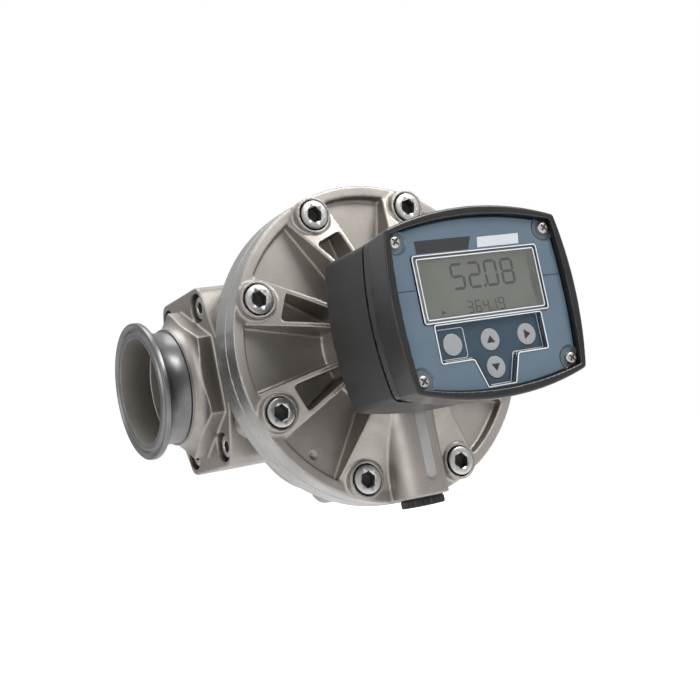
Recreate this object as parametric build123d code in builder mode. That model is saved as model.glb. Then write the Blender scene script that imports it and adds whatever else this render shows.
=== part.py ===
from build123d import *
import math
import os

# Oval gear flow meter with clamp ferrules and a battery display
# Millimetres. X runs with the flow from the inlet face, the cover faces -Y, Z is up
os.makedirs("parts", exist_ok=True)

# Flow line
face_to_face = 232.8
port_bore_r = 30.1
ferrule_neck_r = 31.75
ferrule_flange_r = 38.75
ferrule_rim_width = 2.85
ferrule_back_angle = 20.0
clamp_groove_r = 35.3
clamp_groove_section_r = 2.4
clamp_groove_depth = 1.6

# Port adapters
adapter_seat_x = 58.5
adapter_plate_width = 24.0
adapter_collar_r = 33.2
adapter_collar_end_x = 98.6
hex_end_x = 91.6
hex_half_width = 36.0
hex_side_half_height = 21.3
hex_apex_height = 42.5
hex_blend_r = 6.6
plate_half_height = 51.0
plate_half_width = 40.0
plate_top_half_width = 27.5
plate_side_half_height = 20.0
plate_corner_r = 7.0
adapter_screw_y = 22.0
adapter_screw_z = 39.6
adapter_screw_recess = 2.0
adapter_recess_r = 8.3
adapter_plate_edge_r = 0.8

# Cover and body joint
joint_y = -66.0
seal_land = 4.3
bolt_land = 8.5
rim_land = 10.3
cover_rim_width = 12.0
body_flange_width = 15.0
bolt_count = 8
bolt_first_angle = 22.5
bolt_boss_r = 13.2
bolt_boss_step = 0.8
rear_boss_r = 8.5
side_boss_length = 25.0
end_boss_length = 35.0
bolt_spot_r = 9.8
bolt_spot_depth = 4.1

# Cover casting
cone_foot_inset = 0.1
cone_angle = 28.0
turret_r = 35.0
turret_wall = 8.0
turret_top_y = -111.5
turret_cavity_floor_y = -79.0
pocket_floor_y = -71.0
rim_ring_width = 5.0
pocket_outer_half_width = 18.0
pocket_inner_half_width = 8.0
pocket_corner_r = 1.5
wedge_outer_half_width = 7.0
wedge_inner_half_width = 2.6
wedge_corner_r = 2.5
wedge_inset = 13.1
outline_spare = 2.0
mark_r = 1.8
mark_depth = 0.8
mark_x = -53.4
mark_z = -54.8

# Conduit boss
conduit_y = -84.0
conduit_boss_r = 15.2
conduit_angle = 270
conduit_end_inset = 1.4
conduit_thread_r = 10.0
conduit_thread_depth = 14.0
conduit_way_r = 7.0
conduit_land_width = 8.0
conduit_land_end_inset = 8.3
conduit_land_depth = 0.5

# Rotors and chamber
rotor_spacing = 60.0
rotor_ovality = 0.2
rotor_teeth = 24
tooth_tip_share = 0.16
tooth_root_share = 0.34
tooth_depth = 5.0
tip_gap = 0.2
chamber_gap = 0.3
chamber_floor_y = 12.0
drum_r = 45.5
drum_back_y = 21.0
drum_back_fillet = 5.0
rotor_end_gap = 0.8
shaft_r = 5.0
shaft_seat_depth = 7.0
shaft_end_gap = 0.5
bush_outer_r = 7.0
bush_length = 16.0
bush_flange_r = 9.5
bush_flange_width = 0.5
port_slot_y = -13.0
port_slot_depth = 44.0
port_slot_height = 30.0
port_slot_corner_r = 6.0
port_slot_x = 16.0
magnet_r = 3.0
magnet_length = 5.0
magnet_offset = 17.5
core_r = 5.5
core_offset = 20.0
core_depth = 60.0

# Clearances
running_gap = 0.05
seat_gap = 0.02
thread_gap = 0.05

# Metric fasteners
m10_shank_r = 5.0
m10_head_r = 8.0
m10_head_height = 10.0
m10_hex = 8.0
m10_length = 25.0
m8_shank_r = 4.0
m8_head_r = 6.5
m8_head_height = 8.0
m8_hex = 6.0
m8_length = 28.0
m4_shank_r = 2.0
thread_core_r = 1.9
screw_way = 0.2
bolt_way = 0.5
adapter_hole_spare = 2.0
cover_hole_spare = 4.0
m4_head_r = 3.5
m4_head_height = 4.0
m4_hex = 3.0
m4_length = 14.0
m3_shank_r = 1.5
m3_head_r = 2.75
m3_head_height = 2.0
m3_hex = 2.5
m3_length = 4.5

# Seals
seal_section_r = 1.5
cover_groove_gap = 0.15
port_groove_gap = 0.3
port_seal_r = 35.0

# Display
base_half_width = 47.0
base_half_height = 39.0
base_bow_x = 4.5
base_bow_z = 5.0
base_wall = 3.0
base_back_wall = 3.5
base_back_y = -113.0
base_front_y = -153.2
bezel_back_y = -154.0
bezel_step_y = -160.4
bezel_lip_height = 3.7
bezel_half_width = 50.4
bezel_half_height = 39.6
bezel_bow_x = 4.2
bezel_bow_z = 8.0
bezel_draft_x = 2.2
bezel_draft_z = 0.8
bezel_step = 0.8
bezel_corner_r = 2.5
bezel_edge_r = 0.8
corner_lip = 2.4
side_lip = 4.4
recess_corner_r = 2.0
ledge_width = 4.0
base_corner_r = 4.0
hollow_corner_r = 1.5
panel_front_y = -177.5
panel_thickness = 2.5
panel_bevel = 1.0
panel_gap = 0.15
front_screw_x = 44.5
front_screw_z = 33.7
front_screw_length = 34.0
front_screw_head_r = 3.2
front_screw_head_height = 2.3
front_screw_head_edge_r = 1.38
front_screw_sink = 0.9
front_post_r = 6.0
cross_width = 0.9
cross_length = 4.4
cross_depth = 1.3
base_way_r = 9.0
base_screw_inset = 3.8873
gasket_inset = 0.5

# Window, keys and boards
window_half_width = 37.4
window_low_z = -7.6
window_high_z = 26.2
window_corner_r = 1.8
window_proud = 0.8
key_field_half_width = 32.3
key_field_low_z = -27.2
key_stem_half_width = 13.5
key_stem_end_half_width = 8.5
key_stem_low_z = -41.5
key_field_corner_r = 2.0
key_field_rim = 1.0
key_field_proud = 0.3
key_r = 5.5
key_gap = 0.3
key_proud = 0.6
key_pitch = 22.3
key_row_z = -18.2
down_key_z = -32.0
key_plate_thickness = 2.4
key_plate_margin = 1.0
key_flange_r = 6.5
key_flange_width = 0.8
key_rest_gap = 0.2
key_travel = 0.6
key_edge_r = 0.4
board_front_y = -168.0
board_thickness = 1.6
board_gap = 0.6
lcd_half_width = 36.5
lcd_low_z = -7.2
lcd_high_z = 25.8
lcd_gap = 0.2
dome_r = 4.5
battery_r = 7.25
battery_length = 50.0
battery_z = 8.0
holder_floor = 2.0
holder_wall = 2.5
board_screw_x = 42.5
board_screw_z = 24.0
board_boss_r = 3.0
board_screw_length = 5.0
pulse_board_gap = 3.0
pulse_board_y = -82.0
pulse_post_r = 3.0
pulse_post_inset = 4.5
pulse_post_count = 3
pulse_post_first_angle = 90.0
sensor_size = 5.0
sensor_height = 1.8
terminal_length = 26.0
terminal_height = 9.0
terminal_depth = 10.0
terminal_ways = 5
terminal_way_r = 1.8

# Conduit plug
plug_head_r = 12.0
plug_head_height = 4.2
plug_seal_width = 0.8
plug_thread_length = 12.0

mid_x = face_to_face / 2
cover_axis = Axis((mid_x, 0, 0), (0, 1, 0))
flow_axis = Axis((0, 0, 0), (1, 0, 0))
rotor_long_r = rotor_spacing * (1 + rotor_ovality) / 2
chamber_r = rotor_long_r + chamber_gap
cover_seal_r = rotor_spacing / 2 + chamber_r + seal_land
bolt_circle_r = cover_seal_r + bolt_land
rim_r = bolt_circle_r + rim_land
pocket_outer_r = rim_r - rim_ring_width
wedge_outer_r = bolt_circle_r - wedge_inset
turret_cavity_r = turret_r - turret_wall
base_screw_offset = (turret_r - base_screw_inset) / math.sqrt(2)
pulse_board_r = turret_cavity_r - pulse_board_gap
pulse_post_circle_r = pulse_board_r - pulse_post_inset
conduit_end_z = -(rim_r - conduit_end_inset)
cover_front_y = joint_y - cover_rim_width
flange_back_y = joint_y + body_flange_width
bolt_seat_y = cover_front_y + bolt_spot_depth
cone_foot_r = bolt_circle_r - cone_foot_inset
cone_top_y = cover_front_y - (cone_foot_r - turret_r) * math.tan(math.radians(cone_angle))
rotor_back_y = chamber_floor_y - rotor_end_gap
rotor_front_y = joint_y + rotor_end_gap
bezel_front_y = panel_front_y - bezel_lip_height
front_screw_seat_y = panel_front_y + front_screw_sink
panel_back_y = panel_front_y + panel_thickness
key_plate_back_y = panel_back_y + key_plate_thickness
board_back_y = board_front_y + board_thickness
lcd_front_y = panel_back_y + lcd_gap
groove_depth = 2 * (seal_section_r + seat_gap)
cover_groove_half_width = seal_section_r + cover_groove_gap
port_groove_half_width = seal_section_r + port_groove_gap
plate_front_x = adapter_seat_x + adapter_plate_width
adapter_screw_seat_x = plate_front_x - adapter_screw_recess - m8_head_height


def facing(y):
    """Sketch plane at depth y, seen from the cover side: local x is X and local y is Z."""
    return Plane(origin=(mid_x, y, 0), x_dir=(1, 0, 0), z_dir=(0, -1, 0))


def across(outward, distance):
    """Sketch plane across the flow at a distance from the cover axis, outward is -1 or 1."""
    return Plane(origin=(mid_x + outward * distance, 0, 0), x_dir=(0, outward, 0), z_dir=(outward, 0, 0))


def along(outward):
    """Sketch plane through the flow axis: local x runs outward from the cover axis."""
    return Plane(origin=(mid_x, 0, 0), x_dir=(outward, 0, 0), z_dir=(0, 0, outward))


cover_section = Plane(origin=(mid_x, 0, 0), x_dir=(1, 0, 0), z_dir=(0, 0, 1))
conduit_end = Plane(origin=(mid_x, conduit_y, conduit_end_z), x_dir=(1, 0, 0), z_dir=(0, 0, -1))


def behind(y):
    """Sketch plane at depth y, seen from the meter's back, normal +Y."""
    return Plane(origin=(mid_x, y, 0), x_dir=(-1, 0, 0), z_dir=(0, 1, 0))


def turned(angle):
    return Location((0, 0, 0), (0, 0, angle))


def bowed_outline(half_width, half_height, bow_x, bow_z, corner_r):
    """Four-sided outline whose sides bow outward."""
    with BuildSketch(Plane.XY, mode=Mode.PRIVATE) as outline:
        with BuildLine():
            ThreePointArc((-half_width, -half_height), (0, -half_height - bow_z), (half_width, -half_height))
            ThreePointArc((half_width, -half_height), (half_width + bow_x, 0), (half_width, half_height))
            ThreePointArc((half_width, half_height), (0, half_height + bow_z), (-half_width, half_height))
            ThreePointArc((-half_width, half_height), (-half_width - bow_x, 0), (-half_width, -half_height))
        make_face()
        fillet(outline.vertices(), corner_r)
    return outline.sketch


def port_outline():
    """Octagon of the flow block and of the adapter plates."""
    corners = []
    for side, top in ((1, 1), (-1, 1), (-1, -1), (1, -1)):
        near = (side * plate_half_width, top * plate_side_half_height)
        far = (side * plate_top_half_width, top * plate_half_height)
        corners += [near, far] if side * top > 0 else [far, near]
    with BuildSketch(Plane.XY, mode=Mode.PRIVATE) as outline:
        Polygon(*corners, align=None)
        fillet(outline.vertices(), plate_corner_r)
    return outline.sketch


def cap_screws(plane, places, head_r, head_height, hex_size, shank_r, shank_length):
    """Socket head screws as separate solids, seated on the plane with heads along its normal."""
    with BuildPart() as screws:
        with BuildSketch(plane):
            with Locations(*places):
                Circle(head_r)
        extrude(amount=head_height)
        with BuildSketch(plane):
            with Locations(*places):
                Circle(shank_r)
        extrude(amount=-shank_length)
        with BuildSketch(plane.offset(head_height)):
            with Locations(*places):
                RegularPolygon(hex_size / 2, 6, major_radius=False)
        extrude(amount=-head_height / 2, mode=Mode.SUBTRACT)
    return screws


def ring(plane, axis, centre, section_r):
    """Seal ring: a round section at the given place in the plane, turned about the axis."""
    with BuildPart() as seal:
        with BuildSketch(plane):
            with Locations(centre):
                Circle(section_r)
        revolve(axis=axis)
    return seal


def save(piece, name):
    piece.part.label = name
    export_step(piece.part, f"parts/{name}.step")


def round_places(radius, count, first_angle):
    """Evenly spaced places on a circle."""
    angles = [math.radians(first_angle + 360 / count * n) for n in range(count)]
    return [(radius * math.cos(angle), radius * math.sin(angle)) for angle in angles]


bolt_places = round_places(bolt_circle_r, bolt_count, bolt_first_angle)
pulse_screw_places = round_places(pulse_post_circle_r, pulse_post_count, pulse_post_first_angle)
bolt_step = 360 / bolt_count
rib_angles = [bolt_first_angle + bolt_step * n for n in range(bolt_count)]
wedge_angles = [angle for angle in rib_angles if abs(angle - conduit_angle) > bolt_step]
pocket_angles = [angle - bolt_step / 2 for angle in rib_angles if abs(angle - bolt_step / 2 - conduit_angle) > 1]
side_bolt_places = [place for place in bolt_places if abs(place[0]) > abs(place[1])]
end_bolt_places = [place for place in bolt_places if abs(place[0]) < abs(place[1])]
adapter_screw_places = [(y * adapter_screw_y, z * adapter_screw_z) for y in (-1, 1) for z in (-1, 1)]
front_screw_places = [(x * front_screw_x, z * front_screw_z) for x in (-1, 1) for z in (-1, 1)]
base_screw_places = [(x * base_screw_offset, z * base_screw_offset) for x in (-1, 1) for z in (-1, 1)]
board_screw_places = [(x * board_screw_x, z * board_screw_z) for x in (-1, 1) for z in (-1, 1)]
rotor_places = [(0, rotor_spacing / 2), (0, -rotor_spacing / 2)]

# Cast meter body: bolted flange, rotor drum and octagonal flow block with both ports
with BuildPart() as meter_body:
    with BuildSketch(facing(drum_back_y)):
        SlotCenterToCenter(rotor_spacing, 2 * drum_r, rotation=90)
    extrude(amount=drum_back_y - joint_y)
    fillet(meter_body.faces().sort_by(Axis.Y)[-1].edges(), drum_back_fillet)
    with BuildSketch(facing(flange_back_y)):
        Circle(rim_r)
        with Locations(*bolt_places):
            Circle(bolt_boss_r)
    extrude(amount=body_flange_width)
    for places, length in ((side_bolt_places, side_boss_length), (end_bolt_places, end_boss_length)):
        with BuildSketch(facing(joint_y + length)):
            with Locations(*places):
                Circle(rear_boss_r)
        extrude(amount=length - body_flange_width)
    with BuildSketch(across(-1, adapter_seat_x)):
        add(port_outline())
    extrude(amount=-2 * adapter_seat_x)
    with BuildSketch(facing(chamber_floor_y)):
        with Locations(*rotor_places):
            Circle(chamber_r)
    extrude(amount=chamber_floor_y - joint_y, mode=Mode.SUBTRACT)
    for outward in (-1, 1):
        with BuildSketch(across(outward, adapter_seat_x)):
            Circle(port_bore_r)
        with BuildSketch(across(outward, port_slot_x)):
            with Locations((outward * port_slot_y, 0)):
                RectangleRounded(port_slot_depth, port_slot_height, port_slot_corner_r)
        loft(mode=Mode.SUBTRACT)
        with BuildSketch(across(outward, adapter_seat_x)):
            Circle(port_seal_r + port_groove_half_width)
            Circle(port_seal_r - port_groove_half_width, mode=Mode.SUBTRACT)
        extrude(amount=-groove_depth, mode=Mode.SUBTRACT)
        with BuildSketch(across(outward, adapter_seat_x)):
            with Locations(*adapter_screw_places):
                Circle(m8_shank_r + thread_gap)
        extrude(amount=adapter_screw_seat_x - adapter_seat_x - m8_length - adapter_hole_spare,
                mode=Mode.SUBTRACT)
    with BuildSketch(facing(joint_y)):
        Circle(cover_seal_r + cover_groove_half_width)
        Circle(cover_seal_r - cover_groove_half_width, mode=Mode.SUBTRACT)
    extrude(amount=-groove_depth, mode=Mode.SUBTRACT)
    with BuildSketch(facing(joint_y)):
        with Locations(*bolt_places):
            Circle(m10_shank_r + thread_gap)
    extrude(amount=joint_y - bolt_seat_y - m10_length - cover_hole_spare, mode=Mode.SUBTRACT)
    with BuildSketch(facing(chamber_floor_y)):
        with Locations(*rotor_places):
            Circle(shaft_r + seat_gap)
    extrude(amount=-shaft_seat_depth, mode=Mode.SUBTRACT)
save(meter_body, "meter_body")

# Cast cover: rim, cone of ribs with pockets, turret and conduit boss
with BuildPart() as meter_cover:
    with BuildSketch(facing(joint_y)):
        Circle(rim_r)
        with Locations(*bolt_places):
            Circle(bolt_boss_r)
    extrude(amount=cover_rim_width)
    chamfer(meter_cover.faces().sort_by(Axis.Y)[0].edges(), bolt_boss_step)
    with BuildSketch(cover_section):
        Polygon((0, joint_y), (cone_foot_r, joint_y), (cone_foot_r, cover_front_y), (turret_r, cone_top_y),
                (turret_r, turret_top_y), (0, turret_top_y), align=None)
    revolve(axis=cover_axis)
    with BuildSketch(facing(cover_front_y)):
        with Locations(*bolt_places):
            Circle(bolt_boss_r - bolt_boss_step)
    extrude(amount=bolt_boss_step)
    with BuildSketch(facing(pocket_floor_y)) as pockets:
        for angle in pocket_angles:
            with Locations(turned(angle)):
                Polygon((turret_r - outline_spare, -pocket_inner_half_width),
                        (pocket_outer_r + outline_spare, -pocket_outer_half_width),
                        (pocket_outer_r + outline_spare, pocket_outer_half_width),
                        (turret_r - outline_spare, pocket_inner_half_width), align=None)
        Circle(pocket_outer_r, mode=Mode.INTERSECT)
        Circle(turret_r, mode=Mode.SUBTRACT)
        fillet(pockets.vertices(), pocket_corner_r)
    extrude(amount=pocket_floor_y - turret_top_y, mode=Mode.SUBTRACT)
    with BuildSketch(facing(pocket_floor_y)) as wedges:
        for angle in wedge_angles:
            with Locations(turned(angle)):
                Polygon((turret_r - outline_spare, -wedge_inner_half_width),
                        (wedge_outer_r, -wedge_outer_half_width), (wedge_outer_r, wedge_outer_half_width),
                        (turret_r - outline_spare, wedge_inner_half_width), align=None)
        Circle(turret_r, mode=Mode.SUBTRACT)
        fillet(wedges.vertices(), wedge_corner_r)
    extrude(amount=pocket_floor_y - turret_top_y, mode=Mode.SUBTRACT)
    with BuildSketch(conduit_end):
        Circle(conduit_boss_r)
    extrude(amount=conduit_end_z + turret_cavity_r)
    with BuildSketch(conduit_end):
        Circle(conduit_boss_r)
    extrude(amount=rim_r + conduit_end_z + outline_spare, mode=Mode.SUBTRACT)
    with BuildSketch(facing(conduit_y - conduit_boss_r)):
        with Locations((0, conduit_end_z + conduit_land_end_inset + conduit_land_width / 2)):
            Circle(conduit_land_width / 2)
            Rectangle(conduit_land_width, rim_r - turret_r, align=(Align.CENTER, Align.MIN))
    extrude(amount=-conduit_land_depth, mode=Mode.SUBTRACT)
    with BuildSketch(facing(turret_cavity_floor_y)):
        Circle(turret_cavity_r)
    extrude(amount=turret_cavity_floor_y - turret_top_y, mode=Mode.SUBTRACT)
    with BuildSketch(facing(turret_cavity_floor_y)):
        with Locations(*pulse_screw_places):
            Circle(pulse_post_r)
    extrude(amount=turret_cavity_floor_y - pulse_board_y)
    with BuildSketch(facing(pulse_board_y)):
        with Locations(*pulse_screw_places):
            Circle(m3_shank_r + thread_gap)
    extrude(amount=-m3_length, mode=Mode.SUBTRACT)
    with BuildSketch(conduit_end):
        Circle(conduit_thread_r)
    extrude(amount=-conduit_thread_depth, mode=Mode.SUBTRACT)
    with BuildSketch(conduit_end):
        Circle(conduit_way_r)
    extrude(amount=conduit_end_z + turret_cavity_r - conduit_way_r, mode=Mode.SUBTRACT)
    with BuildSketch(facing(cover_front_y)):
        with Locations(*bolt_places):
            Circle(m10_shank_r + bolt_way)
    extrude(amount=-cover_rim_width, mode=Mode.SUBTRACT)
    with BuildSketch(facing(bolt_seat_y)):
        with Locations(*bolt_places):
            Circle(bolt_spot_r)
    extrude(amount=2 * m10_head_height, mode=Mode.SUBTRACT)
    with BuildSketch(facing(joint_y)):
        with Locations(*rotor_places):
            Circle(shaft_r + seat_gap)
    extrude(amount=shaft_seat_depth, mode=Mode.SUBTRACT)
    with BuildSketch(facing(turret_top_y)):
        with Locations(*base_screw_places):
            Circle(m4_shank_r + thread_gap)
    extrude(amount=-m4_length, mode=Mode.SUBTRACT)
    with BuildSketch(facing(pocket_floor_y)):
        with Locations((mark_x, mark_z)):
            Circle(mark_r)
    extrude(amount=-mark_depth, mode=Mode.SUBTRACT)
save(meter_cover, "meter_cover")

# Eight cover bolts and the seal in the body's groove
cover_bolts = cap_screws(facing(bolt_seat_y), bolt_places, m10_head_r, m10_head_height, m10_hex,
                         m10_shank_r, m10_length)
save(cover_bolts, "cover_bolts")
cover_seal = ring(cover_section, cover_axis, (cover_seal_r, joint_y + seal_section_r + seat_gap), seal_section_r)
save(cover_seal, "cover_seal")


def port_adapter(outward):
    """Cast plate and neck with its turned clamp ferrule, one piece."""
    ferrule_face_x = face_to_face / 2
    ferrule_back = math.tan(math.radians(ferrule_back_angle)) * (ferrule_flange_r - ferrule_neck_r)
    with BuildPart() as neck:
        with BuildSketch(across(outward, plate_front_x)):
            Polygon((hex_half_width, hex_side_half_height), (0, hex_apex_height),
                    (-hex_half_width, hex_side_half_height), (-hex_half_width, -hex_side_half_height),
                    (0, -hex_apex_height), (hex_half_width, -hex_side_half_height), align=None)
        extrude(amount=adapter_collar_end_x - plate_front_x)
        with BuildSketch(along(outward)):
            with BuildLine():
                blend_end = (hex_end_x + hex_blend_r, adapter_collar_r)
                Polyline((plate_front_x, 0), (plate_front_x, hex_apex_height + hex_blend_r),
                         (hex_end_x, hex_apex_height + hex_blend_r), (hex_end_x, adapter_collar_r + hex_blend_r))
                RadiusArc((hex_end_x, adapter_collar_r + hex_blend_r), blend_end, -hex_blend_r)
                Polyline(blend_end, (adapter_collar_end_x, adapter_collar_r), (adapter_collar_end_x, 0),
                         (plate_front_x, 0))
            make_face()
        revolve(axis=flow_axis, mode=Mode.INTERSECT)
    with BuildPart() as adapter:
        with BuildSketch(across(outward, adapter_seat_x)):
            add(port_outline())
        extrude(amount=adapter_plate_width)
        fillet(adapter.faces().sort_by(Axis.X)[0 if outward < 0 else -1].edges(), adapter_plate_edge_r)
        add(neck.part)
        with BuildSketch(along(outward)):
            Polygon((plate_front_x, 0), (plate_front_x, ferrule_neck_r), (ferrule_face_x - ferrule_rim_width
                    - ferrule_back, ferrule_neck_r), (ferrule_face_x - ferrule_rim_width, ferrule_flange_r),
                    (ferrule_face_x, ferrule_flange_r), (ferrule_face_x, 0), align=None)
        revolve(axis=flow_axis)
        with BuildSketch(across(outward, adapter_seat_x)):
            Circle(port_bore_r)
        extrude(amount=ferrule_face_x - adapter_seat_x, mode=Mode.SUBTRACT)
        with BuildSketch(along(outward)):
            with Locations((ferrule_face_x - clamp_groove_depth + clamp_groove_section_r, clamp_groove_r)):
                Circle(clamp_groove_section_r)
        revolve(axis=flow_axis, mode=Mode.SUBTRACT)
        with BuildSketch(across(outward, adapter_screw_seat_x)):
            with Locations(*adapter_screw_places):
                Circle(adapter_recess_r)
        extrude(amount=adapter_collar_end_x - adapter_screw_seat_x, mode=Mode.SUBTRACT)
        with BuildSketch(across(outward, adapter_seat_x)):
            with Locations(*adapter_screw_places):
                Circle(m8_shank_r + bolt_way)
        extrude(amount=adapter_plate_width, mode=Mode.SUBTRACT)
    return adapter


# Port adapters with their screws and seals
for side_name, outward in (("inlet", -1), ("outlet", 1)):
    save(port_adapter(outward), f"{side_name}_adapter")
    adapter_screws = cap_screws(across(outward, adapter_screw_seat_x), adapter_screw_places, m8_head_r,
                                m8_head_height, m8_hex, m8_shank_r, m8_length)
    save(adapter_screws, f"{side_name}_adapter_screws")
    seal_place = (adapter_seat_x - seal_section_r - seat_gap, port_seal_r)
    save(ring(along(outward), flow_axis, seal_place, seal_section_r), f"{side_name}_adapter_seal")


def oval_radius(angle):
    """Pitch curve radius of an oval gear, measured from its long axis."""
    return rotor_spacing * (1 - rotor_ovality ** 2) / 2 / (1 - rotor_ovality * math.cos(2 * angle))


def pitch_angles():
    """Angles that space the teeth evenly along the pitch curve."""
    steps = 2880
    lengths = [0.0]
    for n in range(steps):
        a, b = (2 * math.pi * k / steps for k in (n, n + 1))
        chord = math.hypot(oval_radius(a) * math.cos(a) - oval_radius(b) * math.cos(b),
                           oval_radius(a) * math.sin(a) - oval_radius(b) * math.sin(b))
        lengths.append(lengths[-1] + chord)

    def angle_at(share):
        target = share * lengths[-1]
        n = next(k for k in range(steps) if lengths[k + 1] >= target)
        part = (target - lengths[n]) / (lengths[n + 1] - lengths[n])
        return 2 * math.pi * (n + part) / steps

    return angle_at


def oval_gear_outline(long_axis_angle):
    """Closed tooth outline: tips just inside the pitch curve, straight flanks, roots one tooth depth in."""
    angle_at = pitch_angles()
    points = []
    for tooth in range(rotor_teeth):
        for share, inset in ((tooth_tip_share, 0), (tooth_root_share, 1), (1 - tooth_root_share, 1),
                             (1 - tooth_tip_share, 0)):
            angle = angle_at((tooth + share) / rotor_teeth)
            step = 0.001
            slope = (oval_radius(angle + step) - oval_radius(angle - step)) / (2 * step)
            tilt = math.atan2(slope, oval_radius(angle))
            depth = tip_gap + inset * tooth_depth
            x = oval_radius(angle) * math.cos(angle) - depth * math.cos(angle - tilt)
            y = oval_radius(angle) * math.sin(angle) - depth * math.sin(angle - tilt)
            turn = math.radians(long_axis_angle)
            points.append((x * math.cos(turn) - y * math.sin(turn), x * math.sin(turn) + y * math.cos(turn)))
    return points


def oval_rotor(centre, long_axis_angle, magnets):
    """Oval gear with bush seats, moulding cores and, where asked, pockets for its magnets."""
    long_axis = (math.cos(math.radians(long_axis_angle)), math.sin(math.radians(long_axis_angle)))
    with BuildPart() as rotor:
        with BuildSketch(facing(rotor_back_y)):
            with Locations(centre):
                Polygon(*oval_gear_outline(long_axis_angle), align=None)
        extrude(amount=rotor_back_y - rotor_front_y)
        with BuildSketch(facing(rotor_back_y)):
            with Locations(centre):
                Circle(bush_outer_r)
        extrude(amount=rotor_back_y - rotor_front_y, mode=Mode.SUBTRACT)
        with BuildSketch(facing(rotor_back_y)):
            for side in (-1, 1):
                with Locations((centre[0] + side * core_offset * long_axis[0],
                                centre[1] + side * core_offset * long_axis[1])):
                    Circle(core_r)
        extrude(amount=core_depth, mode=Mode.SUBTRACT)
        if magnets:
            with BuildSketch(facing(rotor_front_y)):
                with Locations(*magnet_places):
                    Circle(magnet_r + seat_gap)
            extrude(amount=-magnet_length, mode=Mode.SUBTRACT)
    return rotor


def rotor_bushes(centre):
    """Two flanged bushes, one pressed into each end of a rotor."""
    with BuildPart() as bushes:
        for end_y, outward in ((rotor_front_y, 1), (rotor_back_y, -1)):
            with BuildSketch(facing(end_y)):
                with Locations(centre):
                    Circle(bush_outer_r - seat_gap)
            extrude(amount=-outward * bush_length)
            with BuildSketch(facing(end_y)):
                with Locations(centre):
                    Circle(bush_flange_r)
            extrude(amount=outward * bush_flange_width)
            with BuildSketch(facing(end_y - outward * bush_flange_width)):
                with Locations(centre):
                    Circle(shaft_r + running_gap)
            extrude(amount=-outward * (bush_length + bush_flange_width), mode=Mode.SUBTRACT)
    return bushes


# Rotors stand a quarter turn apart: the upper one's long axis is upright
magnet_places = [(0, rotor_spacing / 2 + side * magnet_offset) for side in (-1, 1)]
for rotor_name, centre, long_axis_angle in (("upper", rotor_places[0], 90), ("lower", rotor_places[1], 0)):
    save(oval_rotor(centre, long_axis_angle, rotor_name == "upper"), f"{rotor_name}_rotor")
    save(rotor_bushes(centre), f"{rotor_name}_rotor_bushes")
    with BuildPart() as rotor_shaft:
        with BuildSketch(facing(chamber_floor_y + shaft_seat_depth - shaft_end_gap)):
            with Locations(centre):
                Circle(shaft_r)
        extrude(amount=chamber_floor_y - joint_y + 2 * (shaft_seat_depth - shaft_end_gap))
    save(rotor_shaft, f"{rotor_name}_rotor_shaft")

with BuildPart() as rotor_magnets:
    with BuildSketch(facing(rotor_front_y)):
        with Locations(*magnet_places):
            Circle(magnet_r)
    extrude(amount=-magnet_length)
save(rotor_magnets, "rotor_magnets")


def base_outline(inset, corner_r=base_corner_r):
    return bowed_outline(base_half_width - inset, base_half_height - inset, base_bow_x, base_bow_z, corner_r)


def bezel_outline(inset_x, inset_z):
    return bowed_outline(bezel_half_width - inset_x, bezel_half_height - inset_z, bezel_bow_x, bezel_bow_z,
                         bezel_corner_r)


def recess_outline(inset):
    """Inner edge of the bezel's lip, narrower at the corners than along the sides."""
    bow_change = side_lip - corner_lip
    return bowed_outline(bezel_half_width - corner_lip - inset, bezel_half_height - corner_lip - inset,
                         bezel_bow_x - bow_change, bezel_bow_z - bow_change, recess_corner_r)


def window_outline(inset):
    with BuildSketch(Plane.XY, mode=Mode.PRIVATE) as outline:
        with Locations((0, (window_low_z + window_high_z) / 2)):
            RectangleRounded(2 * (window_half_width - inset), window_high_z - window_low_z - 2 * inset,
                             window_corner_r)
    return outline.sketch


def key_field_outline(inset):
    """T shape of the key field: the upper bar and the stem round the lower key."""
    high = window_low_z - inset
    low = key_field_low_z + inset
    end = key_stem_low_z + inset
    with BuildSketch(Plane.XY, mode=Mode.PRIVATE) as outline:
        Polygon((-key_field_half_width + inset, high), (-key_field_half_width + inset, low),
                (-key_stem_half_width + inset, low), (-key_stem_end_half_width + inset, end),
                (key_stem_end_half_width - inset, end), (key_stem_half_width - inset, low),
                (key_field_half_width - inset, low), (key_field_half_width - inset, high), align=None)
        rows = outline.vertices().group_by(Axis.Y)
        fillet(rows[0] + rows[1], key_field_corner_r)
    return outline.sketch


# Display base: moulded housing screwed to the turret
with BuildPart() as display_base:
    with BuildSketch(facing(base_back_y)):
        add(base_outline(0))
    extrude(amount=base_back_y - base_front_y)
    with BuildSketch(facing(base_back_y - base_back_wall)):
        add(base_outline(base_wall, hollow_corner_r))
        with Locations(*front_screw_places):
            Circle(front_post_r, mode=Mode.SUBTRACT)
    extrude(amount=base_back_y - base_front_y, mode=Mode.SUBTRACT)
    with BuildSketch(facing(base_front_y)):
        with Locations(*front_screw_places):
            Circle(thread_core_r + thread_gap)
    extrude(amount=-front_screw_length, mode=Mode.SUBTRACT)
    with BuildSketch(facing(base_back_y)):
        Circle(base_way_r)
        with Locations(*base_screw_places):
            Circle(m4_shank_r + screw_way)
    extrude(amount=base_back_wall, mode=Mode.SUBTRACT)
save(display_base, "display_base")
base_screws = cap_screws(facing(base_back_y - base_back_wall), base_screw_places, m4_head_r, m4_head_height,
                         m4_hex, m4_shank_r, m4_length)
save(base_screws, "display_base_screws")

with BuildPart() as turret_gasket:
    with BuildSketch(facing(turret_top_y)):
        Circle(turret_r)
        Circle(turret_cavity_r, mode=Mode.SUBTRACT)
        with Locations(*base_screw_places):
            Circle(m4_shank_r + screw_way, mode=Mode.SUBTRACT)
    extrude(amount=turret_top_y - base_back_y)
save(turret_gasket, "turret_gasket")

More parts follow.
